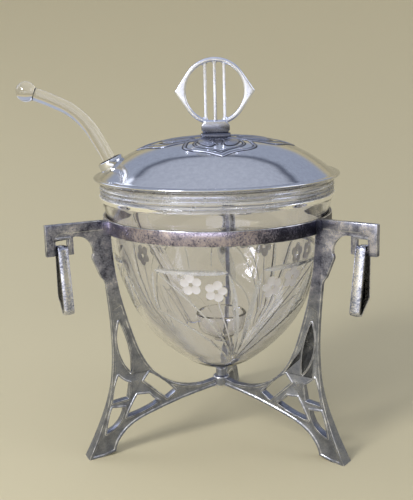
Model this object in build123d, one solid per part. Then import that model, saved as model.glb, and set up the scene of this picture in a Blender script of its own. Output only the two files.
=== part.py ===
from build123d import *
import math
import os

# A covered cut-glass bowl hung in a silver-plated tripod stand, with a glass ladle.
# Millimetres, +Z up. The origin is where the bowl's axis meets the table. The stand is
# symmetrical about the YZ plane, and its rear leg stands on +Y.

# Band that holds the bowl
band_outer_radius = 65.6
band_wall = 1.5
band_height = 8.0
band_bottom = 127.8

# Legs, cast as flat pierced plates that stand along the radius
leg_azimuths = {"left": 210.0, "right": 330.0, "rear": 90.0}
plate_thickness = 2.8
border_width = 1.4
border_rise = 0.4
field_reach = 62.0
toe_thickness = 8.6
heel_thickness = 5.2
foot_flare_height = 46.0
foot_outer_radius = 85.0
foot_length = 16.5
sole_length = 9.0
heel_lift = 1.6
stem_outer_radius = 67.0
stem_waist_height = 68.0
arm_bottom = 30.3
arm_depth = 4.6

# Bracket and lug at the top of each leg
bracket_length = 35.4
bracket_depth = 7.5
bracket_rise = 0.7
lug_width = 15.0
lug_depth = 17.0
lug_hole_width = 6.3
lug_hole_height = 5.8
lug_hole_floor = 2.7
lug_hole_from_end = 8.5
relief_height = 0.35
relief_start = 4.0
relief_border = 4.0
relief_corner = 5.0
relief_frame_gap = 1.1
relief_frame_width = 0.8

# Hub where the three arms meet, and the peg that carries the bowl's tip
hub_radius = 5.0
hub_height = 5.6
hub_chamfer = 0.5
hub_drop = 0.4
peg_radius = 3.0
peg_rise = 5.0
peg_chamfer = 0.6
rivet_head_radius = 4.0
rivet_head_height = 1.1

# Drop loops, bent from flat strip
strip_width = 5.5
strip_thickness = 1.6
loop_front_drop = 38.0
loop_back_drop = 27.6
loop_lean = 7.0
loop_pin_radius = 1.2
loop_side_clearance = 0.3
loop_seat_gap = 0.3
loop_bend_radius = 2.0
loop_top_radius = 1.0

# Glass bowl, whose outline is given in shares of its neck radius and of its depth below the band's top
glass_wall = 3.0
bowl_floor = 4.0
bowl_outline = ((0.959, 0.770), (0.887, 0.602), (0.714, 0.343), (0.497, 0.178), (0.258, 0.057))
bowl_band_clearance = 0.5
rim_overhang = 1.2
rim_rise = 20.0
rim_straight = 8.5
tip_radius = 3.0
seat_gap = 0.3
ring_groove_count = 4
ring_groove_pitch = 2.35
ring_groove_depth = 0.6
ring_groove_first = 3.0

# Lid
lid_turn = 5.66
lid_overhang = 3.2
lid_rise = 21.6
dome_thickness = 1.4
rim_bead_width = 4.6
rim_bead_height = 1.7
rim_bead_round = 0.9
collar_play = 1.5
collar_wall = 1.0
collar_depth = 6.5
ledge_thickness = 1.0
solder_gap = 0.1
knob_hole_clearance = 0.6
lip_wall = 1.1
lip_root = 1.3
lip_height = 3.6

# Finial
ring_inner_radius = 16.3
ring_wall = 2.5
ring_point_length = 3.9
ring_thickness = 3.0
ring_chamfer = 0.6
ring_bar_width = 1.8
ring_bar_thickness = 2.0
ring_bar_pitch = 5.35
neck_width = 16.0
neck_depth = 6.6
neck_height = 4.2
neck_groove = 0.8
plinth_width = 17.2
plinth_depth = 8.6
plinth_height = 2.6
plinth_chamfer = 0.7
stud_radius = 2.0
stud_bite = 3.0
stud_chamfer = 0.4
washer_radius = 6.0
washer_thickness = 0.8
nut_across_flats = 7.0
nut_thickness = 3.0
thread_clearance = 0.05
washer_gap = 0.1

# Ladle, whose straight shaft leans outward through the hole in the lid. The corners of its bent handle
# are measured outward and upward from where the shaft passes the dome.
ladle_azimuth = 182.0
rod_radius = 3.7
knob_radius = 5.7
shaft_lean = 25.2
shaft_inset = 10.95
rod_gap = 0.3
handle_bend = (12.55, 26.57)
handle_turn = (34.95, 38.37)
handle_end = (45.95, 41.97)
handle_bend_radius = 44.0
handle_turn_radius = 60.0
dipper_radius = 15.0
dipper_depth = 17.0
dipper_wall = 2.0
dipper_drop = 91.73

# Radii and heights that follow from the sizes above
band_top = band_bottom + band_height
bracket_top = band_top + bracket_rise
hub_bottom = arm_bottom - hub_drop
hub_top = hub_bottom + hub_height
peg_top = hub_top + peg_rise
bowl_base = peg_top + seat_gap
rim_top = band_top + rim_rise
lid_seat = rim_top + seat_gap
dome_top = lid_seat + lid_rise
plinth_top = dome_top + plinth_height
washer_top = dome_top - dome_thickness - washer_gap
nut_bottom = washer_top - washer_thickness - nut_thickness
band_inner_radius = band_outer_radius - band_wall
neck_radius = band_inner_radius - bowl_band_clearance
rim_outer_radius = band_outer_radius + rim_overhang
lid_radius = rim_outer_radius + lid_overhang
lug_end = band_outer_radius + bracket_length
lug_bottom = bracket_top - lug_depth
hole_floor = lug_bottom + lug_hole_floor
loop_axis_radius = lug_end - lug_hole_from_end
loop_axis_height = hole_floor + loop_seat_gap + loop_pin_radius
ring_outer_radius = ring_inner_radius + ring_wall
ring_point_reach = ring_outer_radius + ring_point_length
ring_centre = plinth_top + neck_height + ring_outer_radius
lid_hole_radius = knob_radius + knob_hole_clearance

standing = (Align.CENTER, Align.CENTER, Align.MIN)


def arc_sided_face(corners, bulges):
    """Face whose sides run from corner to corner; a bulge is how far a side bows out to its left."""
    sides = []
    for start, end, bulge in zip(corners, corners[1:] + corners[:1], bulges):
        sides.append(SagittaArc(start, end, bulge) if bulge else Line(start, end))
    return make_face(sides)


def inward(curve, share, depth):
    """Point that lies depth to the left of a plane curve, at a share of its length."""
    along = curve % share
    return curve @ share + Vector(-along.Y, along.X) * depth


def leg_outline():
    """Side view of a leg as radius and height: bracket, lug, stem, foot and arm."""
    inner = band_outer_radius - band_wall / 2
    arch = bracket_top - bracket_depth
    lug_side = lug_end - lug_width
    stem = stem_outer_radius
    heel = foot_outer_radius - foot_length
    bracket = Polyline(
        (inner, band_bottom), (inner, bracket_top), (lug_end, bracket_top), (lug_end, lug_bottom),
        (lug_side, lug_bottom), (lug_side, arch),
    )
    arch_foot = (band_outer_radius + 9.6, arch - 10.5)
    first_cusp = (band_outer_radius + 9.9, arch - 14.5)
    second_cusp = (band_outer_radius + 5.9, arch - 24.5)
    shin_top = (band_outer_radius + 3.4, arch - 30.0)
    scallops = [
        SagittaArc((lug_side, arch), arch_foot, -3.6),
        SagittaArc(arch_foot, first_cusp, 0.6),
        Line(first_cusp, second_cusp),
        SagittaArc(second_cusp, shin_top, -0.7),
    ]
    shin = Spline(
        shin_top, (stem, stem_waist_height), (stem + 3.6, arm_bottom + 3.7),
        (foot_outer_radius - 9.5, arm_bottom - 10.3), (foot_outer_radius, 0),
    )
    sole = Polyline((foot_outer_radius, 0), (foot_outer_radius - sole_length, 0), (heel, heel_lift))
    underside = Spline(
        (heel, heel_lift), (heel - 2.5, arm_bottom - 22.3), (heel - 8.5, arm_bottom - 15.8),
        (heel - 23.5, arm_bottom - 9.2), (heel - 44.5, arm_bottom - 3.7), (hub_radius / 2, arm_bottom),
    )
    hub_end = Line((hub_radius / 2, arm_bottom), (hub_radius / 2, arm_bottom + arm_depth))
    upper_side = Spline(
        (hub_radius / 2, arm_bottom + arm_depth), (stem - 45.0, arm_bottom + arm_depth - 1.4),
        (stem - 35.0, arm_bottom + arm_depth + 2.2), (stem - 22.0, arm_bottom + 18.2),
        (stem - 12.0, stem_waist_height + 3.0), (band_outer_radius - 2.6, band_bottom - 22.8),
        (inner, band_bottom),
    )
    return make_face([bracket, *scallops, shin, sole, underside, hub_end, upper_side])


def leg_openings():
    """Pierced tracery of a leg: a lens in the stem, a leaf in the foot and three cells between."""
    stem = stem_outer_radius
    arm = arm_bottom
    waist = stem_waist_height
    lens = arc_sided_face([(stem - 4.4, waist + 10.0), (stem - 10.6, arm + 16.7)], [-2.0, -4.2])
    stem_cell = arc_sided_face(
        [
            (stem - 9.0, arm + 10.7), (stem - 7.6, arm + 1.7),
            (stem + 1.8, arm + 0.7), (stem - 2.4, arm + 15.7),
        ],
        [0.0, 0.0, -0.6, 0.5],
    )
    foot_leaf = arc_sided_face(
        [(stem - 5.0, arm - 3.1), (stem + 6.6, arm - 16.8), (stem + 2.4, arm - 2.3)],
        [-3.0, -0.5, 0.0],
    )
    arm_cell = arc_sided_face(
        [
            (stem - 36.5, arm + 1.2), (stem - 31.0, arm - 2.3),
            (stem - 17.5, arm + 10.7), (stem - 21.0, arm + 14.9),
        ],
        [0.0, 0.0, 0.0, -0.9],
    )
    heel_cell = arc_sided_face(
        [
            (stem - 26.0, arm - 3.3), (stem - 6.0, arm - 9.3),
            (stem - 13.0, arm + 2.9), (stem - 20.0, arm + 2.3),
        ],
        [-0.9, -0.4, 0.0, 0.4],
    )
    return [lens, stem_cell, foot_leaf, arm_cell, heel_cell]


def bracket_relief():
    """Raised border along the bracket's top and outer end, and a second one round the lug hole."""
    start = band_outer_radius + relief_start
    border_inner = lug_end - relief_border
    border_bottom = bracket_top - bracket_depth / 2 - 1.25
    top_bar = Pos((start + lug_end) / 2, (border_bottom + bracket_top) / 2) * Rectangle(
        lug_end - start, bracket_top - border_bottom
    )
    end_bar = Pos(lug_end - relief_border / 2, (lug_bottom + bracket_top) / 2) * Rectangle(
        relief_border, lug_depth
    )
    corner = Pos(border_inner - relief_corner / 2, border_bottom - relief_corner / 2) * Rectangle(
        relief_corner, relief_corner
    )
    corner -= Pos(border_inner - relief_corner, border_bottom - relief_corner) * Circle(relief_corner)
    inner_width = lug_hole_width + 2 * relief_frame_gap
    inner_top = hole_floor + lug_hole_height + relief_frame_gap / 2
    frame = Pos(loop_axis_radius, (lug_bottom + inner_top + relief_frame_width) / 2) * Rectangle(
        inner_width + 2 * relief_frame_width, inner_top + relief_frame_width - lug_bottom
    )
    frame -= Pos(loop_axis_radius, (lug_bottom + inner_top) / 2) * Rectangle(
        inner_width, inner_top - lug_bottom
    )
    return top_bar + end_bar + corner + frame


def leg_slab(side_view, recess):
    """Casting with this side view, thickest at the toe, its faces a recess below the borders."""
    half_plate = plate_thickness / 2 - recess
    half_toe = toe_thickness / 2 - recess
    half_heel = heel_thickness / 2 - recess
    heel = foot_outer_radius - foot_length
    end_edge = [(half_toe, 0), (half_plate, foot_flare_height), (half_plate, bracket_top)]
    end_view = make_face(Polyline(*end_edge, *[(-x, z) for x, z in reversed(end_edge)], close=True))
    top_edge = [(0, half_heel), (heel, half_heel), (foot_outer_radius, half_toe), (lug_end, half_toe)]
    top_view = make_face(Polyline(*top_edge, *[(x, -y) for x, y in reversed(top_edge)], close=True))
    slab = extrude(Plane.XZ * side_view, amount=toe_thickness, both=True)
    slab &= extrude(Plane.YZ * end_view, amount=2 * lug_end)
    return slab & extrude(top_view, amount=bracket_top)


def leg():
    """One leg with its bracket and lug, standing along +X, with raised borders along its edges."""
    tracery = leg_outline()
    field = offset(tracery, -border_width) & Pos(stem_outer_radius - 30.0, arm_bottom) * Circle(field_reach)
    for opening in leg_openings():
        tracery -= opening
        field -= offset(opening, border_width * 0.7)
    # Offset splines are made plain splines, because STEP readers lose the faces extruded from them.
    borders = tracery - field.to_splines()
    body = leg_slab(tracery, border_rise) + leg_slab(borders, 0)
    relief_reach = plate_thickness / 2 + relief_height
    body += extrude(Plane.XZ * bracket_relief(), amount=relief_reach, both=True)
    hole = Pos(loop_axis_radius, 0, hole_floor + lug_hole_height / 2) * Box(
        lug_hole_width, 2 * plate_thickness, lug_hole_height
    )
    bed = Pos(0, 0, band_bottom) * Cylinder(band_outer_radius, bracket_top, align=standing)
    return body - hole - bed - hub_cylinder(hub_radius)


def hub_cylinder(radius):
    """Cylinder on the axis, as tall as the hub."""
    return Pos(0, 0, hub_bottom) * Cylinder(radius, hub_height, align=standing)


def band_ring():
    """Flat band, soldered to the legs' brackets."""
    ring = Cylinder(band_outer_radius, band_height) - Cylinder(band_inner_radius, band_height)
    return Pos(0, 0, band_bottom + band_height / 2) * ring


def hub_boss():
    """Boss that the three arms butt against, bored for the peg."""
    return chamfer(hub_cylinder(hub_radius).edges(), hub_chamfer) - hub_cylinder(peg_radius)


def rest_peg():
    """Peg through the boss, riveted over below."""
    half_section = make_face(Polyline(
        (0, hub_bottom - rivet_head_height), (rivet_head_radius / 2, hub_bottom - rivet_head_height),
        (rivet_head_radius, hub_bottom), (peg_radius, hub_bottom), (peg_radius, peg_top - peg_chamfer),
        (peg_radius - peg_chamfer, peg_top), (0, peg_top), close=True,
    ))
    return revolve(Plane.XZ * half_section, axis=Axis.Z)


def drop_loop(lean_side):
    """Strap loop in the lug of a leg along +X; lean_side is which side slants outward, +1 or -1."""
    inside = plate_thickness / 2 + relief_height + loop_side_clearance
    middle = inside + strip_thickness / 2
    top = loop_axis_height
    path = FilletPolyline(
        (-middle, top), (middle, top), (middle + loop_lean, top - loop_front_drop),
        (-middle, top - loop_back_drop), close=True,
        radius=[loop_top_radius, loop_top_radius, loop_bend_radius, loop_bend_radius],
    )
    middle_face = make_face(path)
    ring = offset(middle_face, strip_thickness / 2) - offset(middle_face, -strip_thickness / 2)
    strip = extrude(Plane.YZ * ring, amount=strip_width / 2, both=True)
    strip -= Pos(0, 0, top) * Box(2 * strip_width, 2 * inside, 3 * strip_width)
    pin = Rot(90, 0, 0) * Cylinder(loop_pin_radius, 2 * middle)
    loop = strip + Pos(0, 0, top) * pin
    if lean_side < 0:
        loop = mirror(loop, about=Plane.XZ)
    return Pos(loop_axis_radius, 0, 0) * loop


def bowl_outer_curve():
    """Outside of the bowl from the neck in the band down to the tip."""
    depth = band_top - bowl_base
    between = [(neck_radius * across, bowl_base + depth * up) for across, up in bowl_outline]
    return Spline((neck_radius, band_top), *between, (tip_radius, bowl_base))


def glass_bowl():
    """Bowl blown as one wall, with ring grooves cut below its rim."""
    rim_inner_radius = rim_outer_radius - glass_wall
    shoulder_height = rim_top - rim_straight
    shoulder = (rim_outer_radius, shoulder_height)
    outer = bowl_outer_curve()
    inner_points = [inward(outer, share / 8, -glass_wall) for share in range(8)]
    section = make_face([
        Line((0, bowl_base), (tip_radius, bowl_base)),
        outer,
        SagittaArc((neck_radius, band_top), shoulder, -0.6),
        Line(shoulder, (rim_outer_radius, rim_top)),
        Line((rim_outer_radius, rim_top), (rim_inner_radius, rim_top)),
        Line((rim_inner_radius, rim_top), (rim_inner_radius, shoulder_height)),
        Line((rim_inner_radius, shoulder_height), inner_points[0]),
        Spline(*inner_points, (0, bowl_base + bowl_floor), tangents=((-0.2, -1), (-1, 0))),
        Line((0, bowl_base + bowl_floor), (0, bowl_base)),
    ])
    half_groove = ring_groove_pitch * 0.4
    for number in range(ring_groove_count):
        height = rim_top - ring_groove_first - number * ring_groove_pitch
        section -= make_face(Polyline(
            (rim_outer_radius + ring_groove_depth, height + 2 * half_groove),
            (rim_outer_radius - ring_groove_depth, height),
            (rim_outer_radius + ring_groove_depth, height - 2 * half_groove), close=True,
        ))
    return revolve(Plane.XZ * section, axis=Axis.Z)


def dome_curve(drop, end_radius, end_height):
    """Line of the dome from its middle to a point near the rim, lowered by drop."""
    top = dome_top - drop
    return Spline(
        (0, top), (lid_radius * 0.55, top - lid_rise * 0.183), (lid_radius * 0.75, top - lid_rise * 0.458),
        (end_radius, lid_seat + end_height), tangents=((1, 0), (1, -0.72)),
    )


def dome_outside():
    """Outside of the dome, from its middle to the rolled rim."""
    return dome_curve(0, lid_radius - rim_bead_width * 0.65, rim_bead_height)


def shaft_crossing():
    """Point where the middle of the ladle's shaft passes the dome, before the ladle's turn."""
    radius = lid_radius - shaft_inset
    plumb = Line((radius, lid_seat), (radius, dome_top))
    crossing = (dome_outside() & plumb).vertices()[0]
    return Pos(crossing.X, 0, crossing.Y)


def lid_shell():
    """Spun dome with a solid rolled bead at its rim and a lipped hole for the ladle."""
    bead_inner = lid_radius - rim_bead_width
    bead_edge = (lid_radius, lid_seat + rim_bead_height * 0.6)
    bead_foot = (lid_radius - rim_bead_round, lid_seat)
    outside = dome_outside()
    inside = dome_curve(dome_thickness, bead_inner, ledge_thickness + seat_gap)
    section = make_face([
        outside,
        SagittaArc(outside @ 1, bead_edge, 0.25),
        SagittaArc(bead_edge, bead_foot, 0.3),
        Line(bead_foot, (bead_inner, lid_seat)),
        Line((bead_inner, lid_seat), inside @ 1),
        inside,
        Line(inside @ 0, outside @ 0),
    ])
    dome = revolve(Plane.XZ * section, axis=Axis.Z)
    hole_inset = lid_hole_radius - rod_radius - rod_gap
    hole_place = Rot(0, 0, ladle_azimuth + lid_turn) * shaft_crossing() * Rot(0, shaft_lean, 0)
    hole_place *= Pos(-hole_inset, 0, 0)
    lip_tube = Cylinder(lid_hole_radius + lip_wall, lip_root + lip_height, align=standing)
    lip = hole_place * Pos(0, 0, -lip_root) * lip_tube
    hole = hole_place * Cylinder(lid_hole_radius, 3 * lip_height)
    stud_hole = Pos(0, 0, dome_top) * Cylinder(stud_radius + thread_clearance, 6 * dome_thickness)
    return dome + lip - hole - stud_hole


def lid_collar():
    """Ring soldered inside the bead: a ledge that sits on the glass and a wall that centres it."""
    wall_outer = rim_outer_radius - glass_wall - collar_play
    wall_inner = wall_outer - collar_wall
    wall_bottom = lid_seat - collar_depth
    ledge_outer = lid_radius - rim_bead_width - solder_gap
    ledge_top = lid_seat + ledge_thickness
    section = make_face(Polyline(
        (wall_inner, wall_bottom), (wall_outer, wall_bottom), (wall_outer, lid_seat),
        (ledge_outer, lid_seat), (ledge_outer, ledge_top), (wall_inner, ledge_top), close=True,
    ))
    return revolve(Plane.XZ * section, axis=Axis.Z)


def finial():
    """Cast ring with a point on each side, three upright bars and a neck below."""
    tangent_turn = math.acos(ring_outer_radius / ring_point_reach)
    touch_x = ring_outer_radius * math.cos(tangent_turn)
    touch_z = ring_outer_radius * math.sin(tangent_turn)
    points = make_face(Polyline(
        (ring_point_reach, 0), (touch_x, touch_z), (-touch_x, touch_z), (-ring_point_reach, 0),
        (-touch_x, -touch_z), (touch_x, -touch_z), close=True,
    ))
    ring = extrude(Plane.XZ * (Circle(ring_outer_radius) + points), amount=ring_thickness / 2, both=True)
    bore = extrude(Plane.XZ * Circle(ring_inner_radius), amount=neck_depth, both=True)
    ring = chamfer((ring - bore).faces().filter_by(Axis.Y).edges(), ring_chamfer)
    bar_end = ring_inner_radius + ring_wall / 4
    bar_limit = extrude(Plane.XZ * Circle(bar_end), amount=ring_thickness, both=True)
    for number in (-1, 0, 1):
        bar = Pos(number * ring_bar_pitch, 0, 0) * Box(ring_bar_width, ring_bar_thickness, 2 * bar_end)
        ring += bar & bar_limit
    half = neck_width / 2
    foot = plinth_top - ring_centre
    shoulder = foot + neck_height
    right_side = [
        (half - neck_groove, foot), (half - neck_groove, foot + neck_groove), (half, foot + 2 * neck_groove),
        (half, shoulder), (half - ring_wall, shoulder + ring_wall),
    ]
    left_side = [(-x, z) for x, z in reversed(right_side)]
    neck_view = make_face(Polyline(*right_side, *left_side, close=True))
    neck = extrude(Plane.XZ * neck_view, amount=neck_depth / 2, both=True) - bore
    stud_bore = Pos(0, 0, foot) * Cylinder(stud_radius + thread_clearance, 2 * stud_bite)
    return Rot(0, 0, lid_turn) * Pos(0, 0, ring_centre) * (ring + neck - stud_bore)


def finial_plinth():
    """Moulded block between the neck and the dome."""
    block = Pos(0, 0, dome_top + plinth_height / 2) * Box(plinth_width, plinth_depth, plinth_height)
    block = chamfer(block.edges().filter_by(Axis.Z), plinth_chamfer)
    block = chamfer(block.faces().sort_by(Axis.Z)[-1].edges(), plinth_chamfer)
    stud_bore = Pos(0, 0, dome_top) * Cylinder(stud_radius + thread_clearance, 3 * plinth_height)
    return Rot(0, 0, lid_turn) * (block - stud_bore)


def finial_stud():
    """Stud that ties the finial to the lid, from inside the neck to just below the nut."""
    bottom = nut_bottom - 2 * stud_chamfer
    stud = Cylinder(stud_radius, plinth_top + stud_bite - bottom, align=standing)
    return Pos(0, 0, bottom) * chamfer(stud.edges(), stud_chamfer)


def finial_washer():
    """Washer under the crown of the dome."""
    bore = Cylinder(stud_radius + thread_clearance, 2 * washer_thickness)
    washer = Cylinder(washer_radius, washer_thickness) - bore
    return Pos(0, 0, washer_top - washer_thickness / 2) * washer


def finial_nut():
    """Hexagon nut under the washer."""
    flats = RegularPolygon(nut_across_flats / 2, 6, major_radius=False)
    bore = Circle(stud_radius + thread_clearance)
    return Pos(0, 0, nut_bottom) * extrude(flats - bore, amount=nut_thickness)


def dipper():
    """Round glass cup with its rim at height 0."""
    floor = dipper_wall - dipper_depth
    inner_radius = dipper_radius - dipper_wall
    section = make_face([
        Line((0, -dipper_depth), (dipper_radius * 0.35, -dipper_depth)),
        Spline(
            (dipper_radius * 0.35, -dipper_depth), (dipper_radius * 0.86, -dipper_depth * 0.62),
            (dipper_radius, 0), tangents=((1, 0), (0, 1)),
        ),
        Line((dipper_radius, 0), (inner_radius, 0)),
        Spline(
            (inner_radius, 0), (inner_radius * 0.86, -dipper_depth * 0.56),
            (dipper_radius * 0.3, floor), tangents=((0, -1), (-1, 0)),
        ),
        Line((dipper_radius * 0.3, floor), (0, floor)),
        Line((0, floor), (0, -dipper_depth)),
    ])
    return revolve(Plane.XZ * section, axis=Axis.Z)


def ladle():
    """Glass rod with a knobbed, bent handle and a dipper at the foot of its shaft."""
    shaft_end = (-dipper_drop * math.tan(math.radians(shaft_lean)), -dipper_drop)
    path = Plane.XZ * FilletPolyline(
        shaft_end, handle_bend, handle_turn, handle_end, radius=[handle_bend_radius, handle_turn_radius],
    )
    rod = sweep(Plane(origin=path @ 0, z_dir=path % 0) * Circle(rod_radius), path=path)
    knob = Pos(*(path @ 1)) * Sphere(knob_radius)
    heel = Pos(*(path @ 0)) * Sphere(rod_radius)
    cup_reach = dipper_radius + rod_radius - dipper_wall
    cup = Pos(shaft_end[0] - cup_reach, 0, shaft_end[1] + rod_radius) * dipper()
    return Rot(0, 0, ladle_azimuth + lid_turn) * shaft_crossing() * (rod + heel + cup + knob)


nodes = {
    "band_ring": band_ring(),
    "hub_boss": hub_boss(),
    "rest_peg": rest_peg(),
    "glass_bowl": glass_bowl(),
    "lid_shell": lid_shell(),
    "lid_collar": lid_collar(),
    "finial": finial(),
    "finial_plinth": finial_plinth(),
    "finial_stud": finial_stud(),
    "finial_washer": finial_washer(),
    "finial_nut": finial_nut(),
    "ladle": ladle(),
}
cast_leg = leg()
for side, azimuth in leg_azimuths.items():
    nodes["leg_" + side] = Rot(0, 0, azimuth) * cast_leg
    nodes["loop_" + side] = Rot(0, 0, azimuth) * drop_loop(-1 if side == "right" else 1)

os.makedirs("parts", exist_ok=True)
for name, shape in nodes.items():
    export_step(shape, f"parts/{name}.step")
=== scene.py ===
import math

import bmesh
import bpy
from bpy.props import FloatProperty, FloatVectorProperty, IntProperty, PointerProperty
from bpy.types import Operator, Panel, PropertyGroup
from mathutils import Matrix, Vector


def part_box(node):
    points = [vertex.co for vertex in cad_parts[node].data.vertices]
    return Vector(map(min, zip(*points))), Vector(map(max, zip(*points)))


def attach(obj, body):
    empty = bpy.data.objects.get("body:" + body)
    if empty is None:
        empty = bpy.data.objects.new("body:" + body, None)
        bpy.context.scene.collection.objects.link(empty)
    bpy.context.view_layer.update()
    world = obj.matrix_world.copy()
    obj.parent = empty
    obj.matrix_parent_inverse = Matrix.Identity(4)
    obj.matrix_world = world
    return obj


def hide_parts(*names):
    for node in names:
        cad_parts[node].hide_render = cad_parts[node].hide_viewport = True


bl_info = {
    "name": "Covered Glass Bowl",
    "version": (1, 0, 0),
    "blender": (4, 5, 0),
    "location": "3D View > Sidebar > Glass Bowl",
    "description": "Dresses a covered cut-glass bowl in its footed stand and lays out its stage",
    "category": "Object",
}

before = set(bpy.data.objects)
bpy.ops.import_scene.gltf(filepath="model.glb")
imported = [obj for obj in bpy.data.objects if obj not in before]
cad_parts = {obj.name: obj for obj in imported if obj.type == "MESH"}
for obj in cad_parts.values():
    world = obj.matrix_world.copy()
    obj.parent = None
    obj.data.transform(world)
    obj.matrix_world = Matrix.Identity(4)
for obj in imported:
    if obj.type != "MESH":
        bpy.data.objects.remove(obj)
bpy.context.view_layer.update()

MM = 0.001

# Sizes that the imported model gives
bowl_low, bowl_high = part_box("glass_bowl")
band_low, band_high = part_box("band_ring")
dome_low, dome_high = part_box("lid_shell")

# Turn of the lid and of the camera about the bowl's axis, and the ladle's direction, in degrees
LID_TURN = 5.66
LADLE_TURN = 187.66

GLASS_IOR = 1.54


# Colour, selection and node helpers


def linear(hex_colour):
    """Linear RGBA of an sRGB hex colour."""
    channels = [int(hex_colour[place:place + 2], 16) / 255 for place in (1, 3, 5)]
    shades = [c / 12.92 if c <= 0.04045 else ((c + 0.055) / 1.055) ** 2.4 for c in channels]
    return (*shades, 1.0)


def fill(tree, node, inputs):
    """Gives a node's inputs their values, or links the sockets that feed them."""
    for name, value in inputs.items():
        if isinstance(value, bpy.types.NodeSocket):
            tree.links.new(value, node.inputs[name])
        else:
            node.inputs[name].default_value = value


def add_node(tree, kind, inputs=None, **settings):
    """Adds a node with its settings and its inputs."""
    node = tree.nodes.new(kind)
    for name, value in settings.items():
        setattr(node, name, value)
    fill(tree, node, inputs or {})
    return node


def add_ramp(tree, source, stops):
    """Colour from a ramp whose stops are each a place and a hex colour."""
    node = add_node(tree, "ShaderNodeValToRGB", {"Fac": source})
    ramp = node.color_ramp
    while len(ramp.elements) < len(stops):
        ramp.elements.new(0.5)
    for element, (place, colour) in zip(ramp.elements, stops):
        element.position = place
        element.color = linear(colour)
    return node.outputs["Color"]


def add_range(tree, value, low, high, start=0.0, end=1.0, kind="LINEAR"):
    """Value carried from one range onto another, and held at its ends."""
    return add_node(tree, "ShaderNodeMapRange", {
        "Value": value, "From Min": low, "From Max": high, "To Min": start, "To Max": end,
    }, interpolation_type=kind).outputs["Result"]


def mix_colours(tree, share, first, second):
    """Colour between two, each given as a colour or as the socket that feeds it."""
    # A colour mix has its factor at socket 0, its colours at 6 and 7 and its result at output 2.
    return add_node(tree, "ShaderNodeMix", {0: share, 6: first, 7: second}, data_type="RGBA").outputs[2]


def weighted_sum(tree, first, first_share, second, second_share):
    """Sum of two values, each times its share."""
    part = add_node(tree, "ShaderNodeMath", {0: second, 1: second_share}, operation="MULTIPLY").outputs[0]
    return add_node(
        tree, "ShaderNodeMath", {0: first, 1: first_share, 2: part}, operation="MULTIPLY_ADD",
    ).outputs[0]


def add_bump(tree, height, strength, depth):
    """Normal that shows a height as shallow relief of this depth."""
    return add_node(tree, "ShaderNodeBump", {
        "Height": height, "Strength": strength, "Distance": depth,
    }).outputs["Normal"]


def new_material(name):
    """Material with its node tree, its shader and the piece's own coordinates."""
    material = bpy.data.materials.new(name)
    material.use_nodes = True
    tree = material.node_tree
    place = add_node(tree, "ShaderNodeTexCoord").outputs["Object"]
    return material, tree, tree.nodes["Principled BSDF"], place


def select_only(*chosen):
    """Selects these objects alone; the first is the active one."""
    bpy.ops.object.select_all(action="DESELECT")
    for thing in chosen:
        thing.select_set(True)
    bpy.context.view_layer.objects.active = chosen[0]


def tidy_mesh(body, merge=0.002 * MM):
    """Merges doubled points and turns all faces outward."""
    select_only(body)
    bpy.ops.object.mode_set(mode="EDIT")
    bpy.ops.mesh.select_all(action="SELECT")
    bpy.ops.mesh.remove_doubles(threshold=merge)
    bpy.ops.mesh.normals_make_consistent(inside=False)
    bpy.ops.object.mode_set(mode="OBJECT")


def apply_modifier(body, kind, **settings):
    """Adds a modifier with its settings and applies it."""
    select_only(body)
    modifier = body.modifiers.new(kind.title(), kind)
    for name, value in settings.items():
        setattr(modifier, name, value)
    bpy.ops.object.modifier_apply(modifier=modifier.name)


def smooth(body, degrees):
    """Shades a body smooth, with edges sharper than this left crisp."""
    select_only(body)
    bpy.ops.object.shade_smooth_by_angle(angle=math.radians(degrees))


def place_piece(piece, body, slot, *replaced):
    """Puts a finished piece on its body, in place of CAD nodes; its slot is not used."""
    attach(piece, body)
    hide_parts(*replaced)


# Shape helpers


def drawn_line(name, points, corners=(), fineness=8):
    """Curve through points, smooth except at the points whose numbers are in corners."""
    bpy.ops.object.select_all(action="DESELECT")
    bpy.ops.curve.primitive_bezier_curve_add(location=(0, 0, 0))
    line = bpy.context.object
    line.name = name
    line.data.resolution_u = fineness
    spline = line.data.splines[0]
    spline.bezier_points.add(len(points) - 2)
    for number, (knot, place) in enumerate(zip(spline.bezier_points, points)):
        knot.co = place
        handle = "VECTOR" if number in corners else "AUTO"
        knot.handle_left_type = handle
        knot.handle_right_type = handle
    return line


def turned(line, steps):
    """Turns a drawn line about the Z axis into a closed, smooth body."""
    select_only(line)
    bpy.ops.object.convert(target="MESH")
    body = bpy.context.object
    apply_modifier(
        body, "SCREW", angle=math.tau, steps=steps, render_steps=steps, use_merge_vertices=True,
        merge_threshold=0.002 * MM, use_smooth_shade=True,
    )
    tidy_mesh(body)
    return body


def joined(name, pieces):
    """Joins pieces into one object with its place in its mesh."""
    select_only(*pieces)
    bpy.ops.object.join()
    whole = bpy.context.object
    whole.name = name
    bpy.ops.object.transform_apply(location=True, rotation=True, scale=True)
    return whole


def combine(body, other, operation):
    """Cuts another body out of this one, or adds it, and takes the other away."""
    apply_modifier(body, "BOOLEAN", object=other, operation=operation, solver="MANIFOLD")
    bpy.data.objects.remove(other)


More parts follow.
